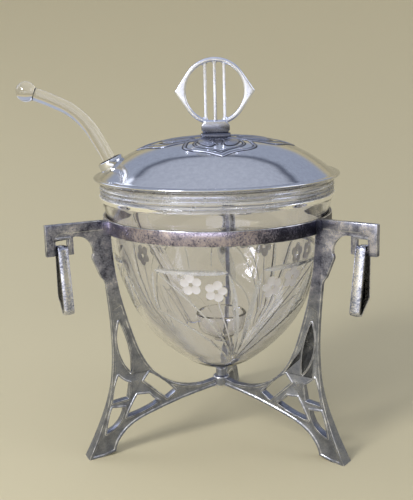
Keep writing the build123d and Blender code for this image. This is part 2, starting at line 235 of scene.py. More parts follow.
def eased_copy(node, name, width, materials, segments=2, sharp=30.0):
    """Copy of a CAD node with its edges eased, as casting and polishing leave them.

    The first material covers it, and a second, where there is one, the edges alone.
    """
    bpy.ops.object.select_all(action="DESELECT")
    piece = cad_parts[node].copy()
    piece.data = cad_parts[node].data.copy()
    piece.name = name
    piece.parent = None
    for key in list(piece.keys()):
        del piece[key]
    bpy.context.scene.collection.objects.link(piece)
    tidy_mesh(piece)
    bpy.ops.object.mode_set(mode="EDIT")
    bpy.ops.mesh.select_all(action="SELECT")
    nearly_flat = math.radians(0.3)
    bpy.ops.mesh.dissolve_limited(angle_limit=nearly_flat)
    bpy.ops.object.mode_set(mode="OBJECT")
    piece.data.materials.clear()
    for material in materials:
        piece.data.materials.append(material)
    apply_modifier(
        piece, "BEVEL", width=width, segments=segments, limit_method="ANGLE",
        angle_limit=math.radians(sharp), use_clamp_overlap=False, miter_outer="MITER_ARC",
        material=len(materials) - 1,
    )
    smooth(piece, sharp)
    return piece


# Materials, each named for the real stuff


def add_noise(tree, place, size, detail, roughness=0.5):
    """Noise whose features are about this size."""
    return add_node(tree, "ShaderNodeTexNoise", {
        "Vector": place, "Scale": 1 / size, "Detail": detail, "Roughness": roughness,
    }).outputs["Fac"]


def silver_plate_tarnished(finish):
    """Silver plate on a cast stand, long unpolished.

    The feet and arms are an even, dull grey. Higher up sulphide turns the plate grey-violet to near black in
    patches, with a pinkish cast where it is thin, and pits show where the metal below has come through.
    """
    material, tree, shader, place = new_material("silver plate tarnished")
    patches = add_noise(tree, place, finish.patch_size, 4.0, 0.6)
    pits = add_noise(tree, place, finish.pit_size, 3.0, 0.7)
    speckled = weighted_sum(tree, pits, 0.3, patches, 0.7)
    calm = add_ramp(tree, speckled, [(0.38, "#747886"), (0.48, "#888c9a"), (0.6, "#9ea2b0")])
    strong = add_ramp(
        tree, speckled, [(0.38, "#454657"), (0.46, "#787b8f"), (0.54, "#9d9fb3"), (0.62, "#c9c8dc")],
    )
    height = add_node(tree, "ShaderNodeSeparateXYZ", {"Vector": place}).outputs["Z"]
    raised = add_range(tree, height, 80 * MM, 112 * MM, kind="SMOOTHSTEP")
    fill(tree, shader, {
        "Base Color": mix_colours(tree, raised, calm, strong), "Metallic": 1.0,
        "Roughness": add_range(tree, speckled, 0.38, 0.6, 0.46, 0.24),
        "Normal": add_bump(tree, pits, 0.25, 0.1 * MM),
    })
    return material


def silver_plate_speckled(finish, name, stops, tarnish_and_painted_shade_share):
    """Silver plate on rolled strip: brighter than the castings, peppered with black pits.

    Its tarnish is thin and pinkish. Towards +X it darkens by the share its last argument gives: partly
    tarnish, partly painted shade standing in for the dark reflection on that side.
    """
    material, tree, shader, place = new_material(name)
    pits = add_noise(tree, place, finish.pit_size, 4.0, 0.75)
    patches = add_noise(tree, place, finish.patch_size, 3.0, 0.6)
    across = add_node(tree, "ShaderNodeSeparateXYZ", {"Vector": place}).outputs["X"]
    # Painted shade: towards +X the plate is darkened, partly as tarnish and partly in place of the dark
    # reflection on that side.
    tarnish_and_painted_shade = add_range(tree, across, 18 * MM, 40 * MM, 0.0, tarnish_and_painted_shade_share, "SMOOTHSTEP")
    speckled = add_node(tree, "ShaderNodeMath", {
        0: weighted_sum(tree, pits, 0.6, patches, 0.4), 1: tarnish_and_painted_shade,
    }, operation="SUBTRACT").outputs[0]
    fill(tree, shader, {
        "Base Color": add_ramp(tree, speckled, stops), "Metallic": 1.0,
        "Roughness": add_range(tree, speckled, 0.36, 0.56, 0.42, 0.18),
        "Normal": add_bump(tree, pits, 0.3, 0.08 * MM),
    })
    return material


def silver_plate_band(finish):
    """The band's plate: pinkish in front, near black to one side, partly from tarnish and partly as painted
    shade.
    """
    stops = [(0.3, "#2d2d3a"), (0.4, "#5d5c6d"), (0.46, "#8f8a9d"), (0.54, "#b4acbe"), (0.62, "#d0c8d6")]
    return silver_plate_speckled(finish, "silver plate band", stops, 0.17)


def silver_plate_loops(finish):
    """The loops' plate: polished brighter than the band by swinging, with blue-grey tarnish left on it."""
    stops = [(0.34, "#4d5366"), (0.41, "#868b9f"), (0.48, "#bfc2d1"), (0.56, "#e0e1ea")]
    # The loop on the +X side comes out a little darker, by the same mix of tarnish and painted shade.
    return silver_plate_speckled(finish, "silver plate loops", stops, 0.03)


def silver_plate_wear_and_painted_highlight(finish):
    """Edges of the cast stand, brighter than its faces: partly kept bright by hands and cloths, partly
    painted highlight where the edges catch the light.
    """
    material, tree, shader, place = new_material("silver plate edge wear and painted highlight")
    wear = add_noise(tree, place, finish.patch_size / 2, 3.0, 0.6)
    colour = add_ramp(tree, wear, [(0.36, "#8f919c"), (0.5, "#c8cad4"), (0.62, "#ecedf2")])
    fill(tree, shader, {"Base Color": colour, "Metallic": 1.0, "Roughness": 0.28})
    return material


def silver_plate_polished(finish, name, dull, bright, roughness, painted_shade_below=0.0):
    """Silver plate on spun and cast brass, hand polished.

    It reflects the room almost as a mirror, a little bluish, with fine wiping marks and a thin bloom. Below a
    height, where one is given, it is drawn grey as painted shade.
    """
    material, tree, shader, place = new_material(name)
    bloom = add_noise(tree, place, finish.bloom_size, 6.0, 0.7)
    colour = add_ramp(tree, bloom, [(0.3, dull), (0.7, bright)])
    height = add_node(tree, "ShaderNodeSeparateXYZ", {"Vector": place}).outputs["Z"]
    # Painted shade: below the given height the plate is drawn grey.
    above_painted_shade = add_range(tree, height, painted_shade_below - 2 * MM, painted_shade_below + 2 * MM, kind="SMOOTHSTEP")
    # The wiping marks run along X: the noise is squeezed nine times across them.
    wiped = add_node(tree, "ShaderNodeMapping", {"Vector": place, "Scale": (1.0, 9.0, 1.0)})
    hairlines = add_noise(tree, wiped.outputs["Vector"], finish.hairline_size, 2.0)
    fill(tree, shader, {
        "Base Color": mix_colours(tree, above_painted_shade, linear("#6f7280"), colour), "Metallic": 1.0,
        "Roughness": add_range(tree, bloom, 0.35, 0.65, roughness * 1.3, roughness),
        "Normal": add_bump(tree, hairlines, 0.05, 0.02 * MM),
    })
    return material


def polished_lid(finish):
    """The lid's plate: bright and nearly a mirror."""
    return silver_plate_polished(finish, "silver plate polished", "#c8cad1", "#d6d8de", 0.11)


def polished_finial(finish):
    """The finial's plate: cast and bright above, with painted shade greying it about its neck."""
    return silver_plate_polished(
        finish, "silver plate bright with painted shade below", "#d5d9ea", "#f0f3ff", 0.22, painted_shade_below=185 * MM,
    )


def plate_on_relief(finish):
    """The embossing's plate: duller than the plain dome round it."""
    return silver_plate_polished(finish, "silver plate on relief", "#8b8fa0", "#b1b5c4", 0.26)


def silver_plate_tarnish_and_shade_in_corners():
    """Dark films in the corners of the embossing, matt blue-black: partly sulphide left where no cloth
    reaches, partly painted shade.
    """
    material, tree, shader, place = new_material("silver plate tarnish and painted shade in corners")
    colour = add_ramp(tree, add_noise(tree, place, 1.2 * MM, 3.0), [(0.4, "#1c202b"), (0.62, "#3f4453")])
    fill(tree, shader, {"Base Color": colour, "Metallic": 1.0, "Roughness": 0.5})
    return material


def brass_turned():
    """Unplated turned brass: warm yellow, dulled."""
    material, tree, shader, place = new_material("brass turned")
    colour = add_ramp(tree, add_noise(tree, place, 2 * MM, 3.0), [(0.35, "#8a713d"), (0.65, "#bfa15c")])
    fill(tree, shader, {"Base Color": colour, "Metallic": 1.0, "Roughness": 0.35})
    return material


def lead_crystal():
    """Clear blown glass, cut and then polished: water-clear, with slight waves in the wall."""
    material, tree, shader, place = new_material("lead crystal polished")
    waves = add_noise(tree, place, 24 * MM, 1.0)
    fill(tree, shader, {
        "Base Color": linear("#f9f9fe"), "Roughness": 0.01, "IOR": GLASS_IOR, "Transmission Weight": 1.0,
        "Normal": add_bump(tree, waves, 0.25, 1.0 * MM),
    })
    return material


def glass_silky():
    """Glass cut by the wheel and polished less than the wall: a silky surface that catches the light."""
    material, tree, shader, place = new_material("glass cut silky")
    smears = add_noise(tree, place, 5 * MM, 2.0)
    fill(tree, shader, {
        "Base Color": linear("#f1f4ff"), "Roughness": add_range(tree, smears, 0.35, 0.65, 0.1, 0.3),
        "IOR": GLASS_IOR, "Transmission Weight": 0.8,
    })
    return material


def glass_frosted():
    """Glass left as the grinding wheel leaves it: white and matt, with the wheel's grain."""
    material, tree, shader, place = new_material("glass frosted")
    # The real grit is finer than this; it is drawn at 0.3 mm so that it shows.
    grit = add_noise(tree, place, 0.3 * MM, 2.0)
    fill(tree, shader, {
        "Base Color": linear("#e6e4ea"), "Roughness": 0.6, "IOR": GLASS_IOR, "Transmission Weight": 0.25,
        "Normal": add_bump(tree, grit, 0.5, 0.05 * MM),
    })
    return material


# Bowl


def bowl_section():
    """Section of the bowl from its tip up the outside, over the rim and down the inside."""
    wall = 3.0 * MM
    floor = 4.0 * MM
    band_wall = 2.0 * MM
    neck = band_high.x - band_wall
    depth = band_high.z - bowl_low.z
    # Share of the neck's radius, and share of the depth, at points up the outside
    shares = [
        (0.252, 0.055), (0.431, 0.139), (0.567, 0.223), (0.676, 0.307), (0.758, 0.392),
        (0.843, 0.518), (0.927, 0.686), (0.982, 0.855), (1.0, 1.0),
    ]
    tip = (3.0 * MM, bowl_low.z)
    outside = [tip] + [(neck * across, bowl_low.z + depth * up) for across, up in shares]
    inside = []
    for before, point, after in zip(outside, outside[1:], outside[2:]):
        slope = (Vector(after) - Vector(before)).normalized()
        inside.append((point[0] - slope.y * wall, point[1] + slope.x * wall))
    rim = bowl_high.x
    top = bowl_high.z
    shoulder = top - 8.5 * MM
    points = [(0, bowl_low.z)] + outside + [(rim - 1.1 * MM, shoulder - 3.5 * MM), (rim, shoulder)]
    corners = [0, 1]
    grooves, first_drop, pitch, half_groove, groove_depth = 4, 3.0 * MM, 2.35 * MM, 0.94 * MM, 0.6 * MM
    first_groove = len(points)
    for number in reversed(range(grooves)):
        height = top - first_drop - pitch * number
        points += [(rim, height - half_groove), (rim - groove_depth, height), (rim, height + half_groove)]
    round_over = 0.6 * MM
    points += [
        (rim, top - round_over), (rim - round_over, top), (rim - wall + round_over, top),
        (rim - wall, top - round_over), (rim - wall, shoulder),
    ]
    corners += range(first_groove, len(points))
    points += [(neck - wall, band_high.z)] + inside[::-1]
    points += [(0, bowl_low.z + floor)]
    corners.append(len(points) - 1)
    return [(x, 0, z) for x, z in points], corners


class OutsideOfBowl:
    """Outside of the bowl, to lay cuts on. Azimuths are in degrees, heights in metres."""

    def __init__(self, section):
        self.line = [(p.x, p.z) for p in section if p.z <= band_high.z + 0.1 * MM]
        highest = max(range(len(self.line)), key=lambda number: self.line[number][0])
        self.line = self.line[1:highest + 1]

    def radius(self, height):
        """Radius at a height."""
        for (r0, z0), (r1, z1) in zip(self.line, self.line[1:]):
            if z0 <= height <= z1:
                return r0 + (r1 - r0) * (height - z0) / max(z1 - z0, 1e-9)
        return self.line[-1][0]

    def point(self, azimuth, height):
        """Point on the surface."""
        turn = math.radians(azimuth)
        radius = self.radius(height)
        return Vector((radius * math.cos(turn), radius * math.sin(turn), height))

    def normal(self, azimuth, height):
        """Direction out of the surface."""
        step = 1.0 * MM
        rise = self.radius(height + step) - self.radius(height - step)
        turn = math.radians(azimuth)
        steep = Vector((2 * step * math.cos(turn), 2 * step * math.sin(turn), -rise))
        return steep.normalized()


def wheel_bar(stations):
    """Three-sided bar with rings along it, from which a wheel's groove is shaped."""
    bpy.ops.object.select_all(action="DESELECT")
    bpy.ops.mesh.primitive_cylinder_add(vertices=3, radius=1, depth=1, end_fill_type="NGON")
    bar = bpy.context.object
    bpy.ops.object.mode_set(mode="EDIT")
    bpy.ops.mesh.select_all(action="DESELECT")
    grid = bmesh.from_edit_mesh(bar.data)
    for edge in grid.edges:
        edge.select = abs(edge.verts[0].co.z - edge.verts[1].co.z) > 0.5
    bmesh.update_edit_mesh(bar.data)
    bpy.ops.mesh.subdivide(number_cuts=stations - 1)
    bpy.ops.object.mode_set(mode="OBJECT")
    return bar


def along_route(route, share):
    """Place on a route of three stops, which it passes in a smooth bend, at a share of the way."""
    first, middle, last = (Vector(stop) for stop in route)
    bend = 2 * middle - (first + last) / 2
    return first * (1 - share) ** 2 + bend * 2 * share * (1 - share) + last * share ** 2


def wheel_cut(outside, unit_azimuth, side, route, depth, half_width, fullness, stations=28):
    """V-shaped groove laid on the bowl's outside, deepest half way and running out at both ends.

    The route's stops are an angle from the unit's middle and a height in millimetres; side mirrors it.
    """
    bar = wheel_bar(stations)
    lift, run_out = 0.6 * MM, 0.02 * MM
    step, nudge = 0.02, 0.1
    for point in bar.data.vertices:
        share = point.co.z + 0.5
        here = along_route(route, share)
        ahead = along_route(route, min(share + step, 1.0)) - along_route(route, max(share - step, 0.0))
        azimuth = unit_azimuth - side * here.x
        spot = outside.point(azimuth, here.y * MM)
        normal = outside.normal(azimuth, here.y * MM)
        further = outside.point(azimuth - side * ahead.x * nudge, (here.y + ahead.y * nudge) * MM)
        sideways = normal.cross(further - spot).normalized()
        bite = depth * (1 - abs(2 * share - 1) ** fullness) - run_out
        # The bar's corner on its own +Y side becomes the bottom of the groove.
        if point.co.y > 0.9:
            point.co = spot - normal * bite
        else:
            reach = half_width * (bite + lift) / depth * (1 if point.co.x > 0 else -1)
            point.co = spot + normal * lift + sideways * reach
    tidy_mesh(bar, merge=0.0005 * MM)
    return bar


def petal(outside, azimuth, height, turn, reach):
    """Rounded hollow of one petal, ground at a distance from the middle of its flower."""
    normal = outside.normal(azimuth, height)
    around = Vector((-math.sin(math.radians(azimuth)), math.cos(math.radians(azimuth)), 0))
    upward = normal.cross(around)
    outward = (around * math.cos(turn) + upward * math.sin(turn)).normalized()
    long, wide, deep, lift = 3.05 * MM, 2.85 * MM, 0.55 * MM, 0.12 * MM
    centre = outside.point(azimuth, height) + outward * reach + normal * lift
    bpy.ops.object.select_all(action="DESELECT")
    bpy.ops.mesh.primitive_uv_sphere_add(segments=20, ring_count=12, radius=1)
    hollow = bpy.context.object
    hollow.matrix_world = Matrix.Translation(centre) @ Matrix((
        (outward.x, normal.cross(outward).x, normal.x, 0), (outward.y, normal.cross(outward).y, normal.y, 0),
        (outward.z, normal.cross(outward).z, normal.z, 0), (0, 0, 0, 1),
    )) @ Matrix.Diagonal((long, wide, deep, 1))
    return hollow


class BOWL_OT_bowl(Operator):
    """Turn the glass bowl and cut its panels and flowers"""

    bl_idname = "glass_bowl.bowl"
    bl_label = "Glass bowl"

    def execute(self, context):
        cutting = context.scene.bowl_cutting
        points, corners = bowl_section()
        line = drawn_line("cut_glass_bowl", points, corners, fineness=7)
        select_only(line)
        bpy.ops.object.convert(target="MESH")
        section = [vertex.co.copy() for vertex in bpy.context.object.data.vertices]
        outside = OutsideOfBowl(section)
        bowl = turned(bpy.context.object, 288)
        clear = lead_crystal()
        silky = glass_silky()
        frosted = glass_frosted()
        bowl.data.materials.append(clear)
        narrow = cutting.narrow_cut / 2
        stem_depth = 0.28 * MM
        # Each cut: its route, its depth, half its width, and how blunt its ends are
        cuts = [
            ([(46.0, 106.0), (41.5, 94.0), (34.0, 81.0)], 0.75 * MM, cutting.facet_cut / 2, 2),
            ([(8.7, 113.3), (28.3, 113.3), (47.9, 113.3)], 0.75 * MM, cutting.top_cut / 2, 8),
            ([(8.9, 113.0), (4.8, 93.0), (0.9, 55.0)], 0.85 * MM, cutting.leaf_cut / 2, 2),
            ([(47.9, 113.5), (22.0, 87.0), (2.0, 54.0)], 0.5 * narrow, narrow, 6),
            ([(48.6, 112.5), (51.0, 100.0), (51.9, 88.5)], 0.3 * narrow, narrow, 6),
            ([(51.9, 88.5), (28.1, 76.7), (5.0, 54.0)], 0.3 * narrow, narrow, 4),
        ]
        stems = [
            [(26.2, 100.8), (18.1, 89.6), (5.5, 62.0)],
            [(14.1, 96.8), (11.5, 86.2), (4.0, 62.0)],
        ]
        # The front unit stands a little to the right of the camera's direction.
        unit_lead = 13.5
        units = [270 + LID_TURN + unit_lead + 120 * number for number in range(3)]
        for side in (1, -1):
            for route, depth, half_width, fullness in cuts:
                wheels = [
                    wheel_cut(outside, unit, side, route, depth, half_width, fullness) for unit in units
                ]
                for wheel in wheels:
                    wheel.data.materials.append(silky)
                combine(bowl, joined("wheels", wheels), "DIFFERENCE")
            for route in stems:
                wheels = [
                    wheel_cut(outside, unit, side, route, stem_depth, cutting.stem_cut / 2, 6)
                    for unit in units
                ]
                for wheel in wheels:
                    wheel.data.materials.append(frosted)
                combine(bowl, joined("wheels", wheels), "DIFFERENCE")
            # Each flower: the place of its middle, and how far its first petal leans from upright
            flowers = [(28.0, 106.4, -6.0), (15.3, 102.6, 15.0)]
            for number in range(5):
                hollows = [
                    petal(
                        outside, unit - side * angle, height * MM,
                        math.radians(90 + 72 * number - side * lean), cutting.petal_reach,
                    )
                    for unit in units for angle, height, lean in flowers
                ]
                hollows = joined("petals", hollows)
                hollows.data.materials.append(frosted)
                combine(bowl, hollows, "DIFFERENCE")
        # The ring grooves of the rim are silky too: their walls slope, and the rim between them is upright.
        rim_height, groove_reach, sloping = 12 * MM, 0.7 * MM, 0.3
        for face in bowl.data.polygons:
            high = face.center.z > bowl_high.z - rim_height
            outer = face.center.xy.length > bowl_high.x - groove_reach
            if high and outer and abs(face.normal.z) > sloping:
                face.material_index = bowl.data.materials.find(silky.name)
        smooth(bowl, 18)
        place_piece(bowl, "bowl", "clear_glass", "glass_bowl")
        return {"FINISHED"}


# Lid


# Radius, and drop below the top of the dome, in millimetres
DOME_LINE = [
    (0, 0), (10, 0.08), (20, 0.55), (30, 1.86), (40, 4.43), (50, 8.56), (60, 14.78), (66, 19.17), (67, 19.9),
]

# Up to a radius of 60 mm the drop is close to this times the cube of the radius, both in metres
DOME_FALL = 69.0


def dome_height(radius):
    """Height of the dome's outside at a radius."""
    return dome_high.z - DOME_FALL * radius ** 3


def dome_section():
    """Section of the dome with its rolled rim, closed below."""
    rim = dome_high.x
    seat = dome_low.z
    bead = 4.6 * MM
    sheet = 1.4
    points = [(r * MM, dome_high.z - drop * MM) for r, drop in DOME_LINE]
    points += [(rim - 1.2 * MM, seat + 1.75 * MM), (rim, seat + 1.0 * MM), (rim - 0.9 * MM, seat)]
    points += [(rim - bead, seat), (rim - bead, seat + 1.3 * MM)]
    corners = [0, len(points) - 3, len(points) - 2, len(points) - 1]
    points += [(r * MM, dome_high.z - (drop + sheet) * MM) for r, drop in DOME_LINE[-2::-1]]
    corners.append(len(points) - 1)
    return [(x, 0, z) for x, z in points], corners


def ridge(name, stops, corners, thickness, sunk):
    """Raised line of the embossed strapwork, part sunk in the dome, in millimetres."""
    points = [(t * MM, -r * MM, dome_height(math.hypot(t, r) * MM) - sunk * MM) for t, r in stops]
    line = drawn_line(name, points, corners, fineness=10)
    line.data.bevel_depth = thickness * MM
    line.data.bevel_resolution = 4
    line.data.use_fill_caps = True
    select_only(line)
    bpy.ops.object.convert(target="MESH")
    return bpy.context.object


def pressed_flat(piece):
    """Presses a piece down until it lies on the dome as a thin film."""
    height_kept = 0.1
    for vertex in piece.data.vertices:
        surface = dome_height(math.hypot(vertex.co.x, vertex.co.y))
        vertex.co.z = surface + (vertex.co.z - surface) * height_kept
    return piece


def pressed_leaf(side, scale, sunk):
    """Rounded leaf raised in the upper half of a lobe, in millimetres and degrees."""
    across, out = 6.9 * side, 22.0
    half_width, half_length, rise = 3.9 * scale, 8.6 * scale, 0.95
    pitch, slant = 6.0, -14.0
    middle = Vector((across * MM, -out * MM, dome_height(math.hypot(across, out) * MM) - sunk * MM))
    bpy.ops.object.select_all(action="DESELECT")
    bpy.ops.mesh.primitive_uv_sphere_add(segments=48, ring_count=24, radius=1)
    leaf = bpy.context.object
    leaf.matrix_world = (
        Matrix.Translation(middle) @ Matrix.Rotation(math.radians(pitch), 4, "X")
        @ Matrix.Rotation(math.radians(slant) * side, 4, "Z")
        @ Matrix.Diagonal((half_width * MM, half_length * MM, rise * MM, 1))
    )
    return joined("leaf", [leaf])


def strapwork_lobe(plate, tarnish):
    """One pointed lobe of the ornament round the finial, on the dome's front, with dark films round it:
    partly tarnish, partly painted shade.

    The stops are distances across the lobe and out from the dome's middle, in millimetres.
    """
    outer = [
        (7.5, 6.5), (13.0, 11.0), (16.5, 17.0), (18.4, 24.5), (18.8, 29.6), (15.6, 34.2), (9.2, 37.9),
        (4.6, 41.0),
    ]
    inner = [(4.8, 9.0), (9.2, 13.5), (12.2, 19.5), (13.4, 25.5), (11.8, 30.2), (7.6, 34.0), (3.2, 37.0)]
    rib = [(2.4, 12.0), (3.2, 20.0), (1.4, 29.0)]
    rib_thickness = 0.5
    # The films reach past the straps and ribs by a margin, and past the leaves by a factor.
    margin, factor = 0.6, 1.22
    pieces = []
    corners = []
    for half, tip, thickness in ((outer, (0, 44.4), 0.8), (inner, (0, 39.9), 0.55)):
        stops = half + [tip] + [(-t, r) for t, r in reversed(half)]
        ends = [0, len(half), len(stops) - 1]
        pieces.append(ridge("strap", stops, ends, thickness, sunk=0.25))
        corners.append(pressed_flat(ridge("corner", stops, ends, thickness + margin, sunk=0)))
    for side in (1, -1):
        pieces.append(pressed_leaf(side, 1.0, sunk=0.2))
        corners.append(pressed_flat(pressed_leaf(side, factor, sunk=0)))
        stops = [(side * t, r) for t, r in rib]
        pieces.append(ridge("rib", stops, (0, 2), rib_thickness, sunk=0.15))
        corners.append(pressed_flat(ridge("corner", stops, (0, 2), rib_thickness + margin, sunk=0)))
    for piece in pieces:
        piece.data.materials.append(plate)
    # The films are partly tarnish and partly painted shade round the relief.
    for piece in corners:
        piece.data.materials.append(tarnish)
    return joined("lobe", pieces + corners)


def hole_place():
    """Frame of the ladle's hole: its origin where the ladle's axis crosses the dome, its Z up the shaft."""
    radius = 59.05 * MM
    shaft_lean = 25.2
    turn = Matrix.Rotation(math.radians(LADLE_TURN), 4, "Z")
    out = Matrix.Translation((radius, 0, dome_height(radius)))
    return turn @ out @ Matrix.Rotation(math.radians(shaft_lean), 4, "Y")


def ladle_lip():
    """Short turned tube round the ladle's hole, its top edge rounded, in millimetres."""
    inner, outer, low, high = 5.6, 7.4, -1.3, 3.6
    corner = 0.6
    points = [
        (inner, low), (outer, low), (outer, high - corner), (outer - 0.25, high - 0.2), (outer - 0.9, high),
        (inner + 0.3, high - 0.3), (inner, high - 0.9),
    ]
    line = drawn_line(
        "lip", [(x * MM, 0, z * MM) for x, z in points + points[:1]], (0, 1, 2, 6, 7), fineness=5,
    )
    lip = turned(line, 96)
    lip.matrix_world = hole_place()
    return joined("lip", [lip])


class BOWL_OT_lid(Operator):
    """Spin the dome, emboss it and pierce it for the ladle"""

    bl_idname = "glass_bowl.lid"
    bl_label = "Lid"

    def execute(self, context):
        plate = polished_lid(context.scene.plate_finish)
        points, corners = dome_section()
        dome = turned(drawn_line("domed_lid", points, corners, fineness=8), 256)
        combine(dome, ladle_lip(), "UNION")
        hole_radius, drill_length = 6.3 * MM, 16 * MM
        bpy.ops.object.select_all(action="DESELECT")
        bpy.ops.mesh.primitive_cylinder_add(vertices=96, radius=hole_radius, depth=drill_length)
        drill = bpy.context.object
        drill.matrix_world = hole_place()
        combine(dome, joined("drill", [drill]), "DIFFERENCE")
        dome.data.materials.clear()
        dome.data.materials.append(plate)
        lobe = strapwork_lobe(plate_on_relief(context.scene.plate_finish), silver_plate_tarnish_and_shade_in_corners())
        lobes = [lobe]
        for number in (1, 2, 3):
            copy = lobe.copy()
            copy.data = lobe.data.copy()
            context.scene.collection.objects.link(copy)
            copy.matrix_world = Matrix.Rotation(math.tau * number / 4, 4, "Z")
            lobes.append(copy)
        relief = joined("relief", lobes)
        relief_lead = 4.0
        relief.matrix_world = Matrix.Rotation(math.radians(LID_TURN + relief_lead), 4, "Z")
        dome = joined("domed_lid", [dome, relief])
        smooth(dome, 35)
        place_piece(dome, "lid", "polished_plate", "lid_shell")
        collar = eased_copy("lid_collar", "collar_in_lid", 0.2 * MM, [plate])
        place_piece(collar, "lid", "polished_plate", "lid_collar")
        return {"FINISHED"}


class BOWL_OT_finial(Operator):
    """Ease and polish the ring finial with its foot, and the stud, washer and nut that hold it"""

    bl_idname = "glass_bowl.finial"
    bl_label = "Finial"

    def execute(self, context):
        plate = polished_finial(context.scene.plate_finish)
        for node, name in (("finial", "ring_finial"), ("finial_plinth", "finial_foot")):
            piece = eased_copy(node, name, 0.45 * MM, [plate], segments=3)
            place_piece(piece, "lid", "polished_plate", node)
        brass = brass_turned()
        for node, name in (
            ("finial_stud", "threaded_stud"), ("finial_washer", "stud_washer"), ("finial_nut", "stud_nut"),
        ):
            place_piece(eased_copy(node, name, 0.12 * MM, [brass]), "lid", "bare_brass", node)
        return {"FINISHED"}


# Stand and loops


class BOWL_OT_stand(Operator):
    """Ease and tarnish the stand's legs, band, boss and peg"""

    bl_idname = "glass_bowl.stand"
    bl_label = "Stand"

    def execute(self, context):
        finish = context.scene.plate_finish
        # The bevelled edges get the brighter plate: partly wear, partly painted highlight.
        wear_and_painted_highlight = silver_plate_wear_and_painted_highlight(finish)
        cast = [silver_plate_tarnished(finish), wear_and_painted_highlight]
        for node, name, width, plates in (
            ("leg_left", "cast_leg_left", 0.22, cast), ("leg_right", "cast_leg_right", 0.22, cast),
            ("leg_rear", "cast_leg_rear", 0.22, cast), ("hub_boss", "turned_boss", 0.25, cast),
            ("rest_peg", "riveted_peg", 0.2, cast),
            ("band_ring", "flat_band", 0.35, [silver_plate_band(finish), wear_and_painted_highlight]),
        ):
            place_piece(eased_copy(node, name, width * MM, plates), "stand", "tarnished_plate", node)
        return {"FINISHED"}


def crown(strap, azimuth, fall):
    """Rounds a loop's strap across its width, so that its edges lie lower than its middle."""
    across = Vector((math.cos(math.radians(azimuth)), math.sin(math.radians(azimuth)), 0))
    reaches = [vertex.co.dot(across) for vertex in strap.data.vertices]
    middle, half = (max(reaches) + min(reaches)) / 2, (max(reaches) - min(reaches)) / 2
    select_only(strap)
    bpy.ops.object.mode_set(mode="EDIT")
    for share in (-0.85, -0.7, -0.55, -0.4, -0.2, 0, 0.2, 0.4, 0.55, 0.7, 0.85):
        bpy.ops.mesh.select_all(action="SELECT")
        bpy.ops.mesh.bisect(plane_co=across * (middle + share * half), plane_no=across)
    bpy.ops.object.mode_set(mode="OBJECT")
    normals = [vertex.normal.copy() for vertex in strap.data.vertices]
    for vertex, normal in zip(strap.data.vertices, normals):
        level = normal - across * normal.dot(across)
        # The strap's two narrow sides face across it and stay as they are.
        if level.length > 0.3:
            share = (vertex.co.dot(across) - middle) / half
            vertex.co -= level.normalized() * fall * share ** 2


class BOWL_OT_loops(Operator):
    """Round, ease and polish the three drop loops"""

    bl_idname = "glass_bowl.loops"
    bl_label = "Drop loops"

    def execute(self, context):
        plate = silver_plate_loops(context.scene.plate_finish)
        for side, azimuth in (("left", 210), ("right", 330), ("rear", 90)):
            loop = eased_copy("loop_" + side, "strap_loop_" + side, 0.3 * MM, [plate])
            crown(loop, azimuth, 0.5 * MM)
            smooth(loop, 40)
            place_piece(loop, "loop_" + side, "polished_plate", "loop_" + side)
        return {"FINISHED"}


# Ladle


class BOWL_OT_ladle(Operator):
    """Draw the glass rod of the ladle and add its knob and dipper"""

    bl_idname = "glass_bowl.ladle"
    bl_label = "Ladle"

    def execute(self, context):
        turn = Matrix.Rotation(math.radians(LADLE_TURN), 4, "Z")
        rod_radius, knob_radius = 3.7, 5.7
        # Distance from the bowl's axis and height, in millimetres, from the dipper to the knob
        path = [
            (15.9, 71.9), (30.0, 101.9), (44.5, 132.7), (58.9, 163.3), (65.2, 175.6), (71.8, 186.2),
            (80.0, 194.2), (89.9, 199.6), (98.5, 203.2), (105.0, 205.5),
        ]
        line = drawn_line("glass_ladle", [(r * MM, 0, z * MM) for r, z in path], (0, 9), fineness=10)
        line.data.bevel_depth = rod_radius * MM
        line.data.bevel_resolution = 8
        line.data.use_fill_caps = True
        line.data.twist_mode = "MINIMUM"
        select_only(line)
        bpy.ops.object.convert(target="MESH")
        rod = bpy.context.object
        tidy_mesh(rod)
        for radius, place in ((knob_radius, path[-1]), (rod_radius, path[0])):
            bpy.ops.object.select_all(action="DESELECT")
            bpy.ops.mesh.primitive_uv_sphere_add(
                segments=64, ring_count=32, radius=radius * MM, location=(place[0] * MM, 0.0, place[1] * MM),
            )
            combine(rod, joined("ball", [bpy.context.object]), "UNION")
        lip = 75.6
        dipper_shift = -0.8 * MM
        cup = [
            (0, lip - 17), (5.2, lip - 17), (12.9, lip - 10.5), (15.0, lip - 0.6), (14.4, lip), (13.6, lip),
            (13.0, lip - 0.6), (11.2, lip - 9.5), (4.5, lip - 15), (0, lip - 15),
        ]
        cup_line = drawn_line(
            "dipper", [(x * MM, 0, z * MM) for x, z in cup], (0, 1, 3, 4, 5, 6, 8, 9), fineness=9,
        )
        dipper = turned(cup_line, 128)
        dipper.matrix_world = Matrix.Translation((dipper_shift, 0, 0))
        combine(rod, joined("dipper", [dipper]), "UNION")
        rod.matrix_world = turn
        ladle = joined("glass_ladle", [rod])
        smooth(ladle, 30)
        ladle.data.materials.clear()
        ladle.data.materials.append(lead_crystal())
        place_piece(ladle, "ladle", "ladle_glass", "ladle")
        return {"FINISHED"}


# Stage


